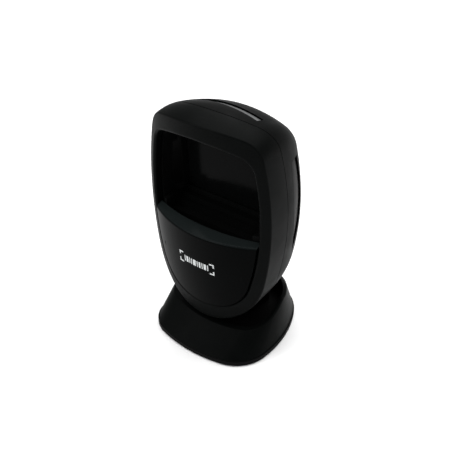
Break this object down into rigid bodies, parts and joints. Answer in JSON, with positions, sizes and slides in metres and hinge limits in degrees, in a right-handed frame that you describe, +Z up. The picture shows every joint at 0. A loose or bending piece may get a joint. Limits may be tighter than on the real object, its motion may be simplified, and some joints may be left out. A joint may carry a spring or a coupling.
{
  "type": "hands-free presentation barcode scanner",
  "caption": "Desk-top bar code scanner: upright shield-shaped head with a stepped scan cavity and glossy chin, tilting on a friction hinge in a small flared, weighted base.",
  "frame": {"origin": "middle of the footprint, on the surface that the rubber feet stand on", "axes": "+Z up, the reading window faces -Y, +X to the right of a person who faces the window"},
  "size_m": [0.0846, 0.083, 0.1439],
  "materials": {
    "bezel_plastic": "fine satin grain",
    "cover_plastic": "fine satin grain",
    "inlay_gloss": "polished",
    "light_guide": "frosted clear",
    "chin_gloss": "polished",
    "liner_black": "fine matt grain",
    "diffuser": "smoky, frosted",
    "window_glass": "tinted, polished",
    "gasket_foam": "closed-cell foam",
    "mark_print": "pad-printed",
    "chassis_plastic": "glass-filled, matt",
    "screw_steel": "zinc plated",
    "barrel_black": "black anodised",
    "lens_glass": "coated",
    "sensor_chip": "glass-covered die",
    "circuit_board": "solder mask",
    "aimer_brass": "turned",
    "led_resin": "clear resin",
    "chip_resin": "moulded",
    "tinned_steel": "tin plated",
    "buzzer_black": "moulded",
    "flex_film": "polyimide film",
    "socket_plastic": "moulded",
    "contact_brass": "gold flashed",
    "switch_plastic": "moulded",
    "neck_metal": "die cast",
    "button_plastic": "satin",
    "yoke_metal": "black coated",
    "axle_steel": "turned",
    "washer_nylon": "natural nylon",
    "base_plastic": "fine satin grain",
    "plate_steel": "black coated",
    "cover_sheet": "fine matt grain",
    "weight_iron": "as cast",
    "foot_rubber": "moulded"
  },
  "bodies": {
    "base": {"yoke": "yoke_metal", "yoke_screws": "screw_steel", "tilt_axle": "axle_steel", "axle_nut": "axle_steel", "friction_washers": "washer_nylon", "base_shell": "base_plastic", "base_plate": "plate_steel", "hinge_cover": "cover_sheet", "base_screws": "screw_steel", "base_weight": "weight_iron", "rubber_feet": "foot_rubber"},
    "head": {"front_bezel": "bezel_plastic", "rear_cover": "cover_plastic", "side_inlay_left": "inlay_gloss", "side_inlay_right": "inlay_gloss", "status_light_lens": "light_guide", "chin_panel": "chin_gloss", "cavity_liner": "liner_black", "illuminator_left": "diffuser", "illuminator_right": "diffuser", "exit_window": "window_glass", "window_gasket": "gasket_foam", "scan_mark": "mark_print", "optical_chassis": "chassis_plastic", "chassis_screws": "screw_steel", "camera_housing": "chassis_plastic", "lens_barrel": "barrel_black", "camera_lens": "lens_glass", "image_sensor": "sensor_chip", "camera_board": "circuit_board", "aiming_module": "aimer_brass", "aiming_lens": "lens_glass", "illuminator_board_left": "circuit_board", "illuminator_board_right": "circuit_board", "illuminator_leds_left": "led_resin", "illuminator_leds_right": "led_resin", "status_light_board": "circuit_board", "status_light_leds": "led_resin", "main_board": "circuit_board", "board_screws": "screw_steel", "board_chips": "chip_resin", "shield_can": "tinned_steel", "buzzer": "buzzer_black", "flex_cable": "flex_film", "cable_socket": "socket_plastic", "socket_contacts": "contact_brass", "trigger_switch": "switch_plastic", "trigger_board": "circuit_board", "housing_screws": "screw_steel", "neck_bracket": "neck_metal", "neck_screws": "screw_steel"},
    "trigger": {"trigger_button": "button_plastic", "trigger_plunger": "switch_plastic"}
  },
  "joints": [
    {"name": "head_tilt", "type": "hinge", "parent": "base", "child": "head", "pos_m": [0, 0.006, 0.015], "axis": [1, 0, 0], "range_deg": [-10, 6]},
    {"name": "trigger_press", "type": "slide", "parent": "head", "child": "trigger", "axis": [0, -0.9992, -0.0401], "range_m": [0, 0.0006], "stiffness_N_per_m": 2500, "springref_m": -0.0004}
  ]
}
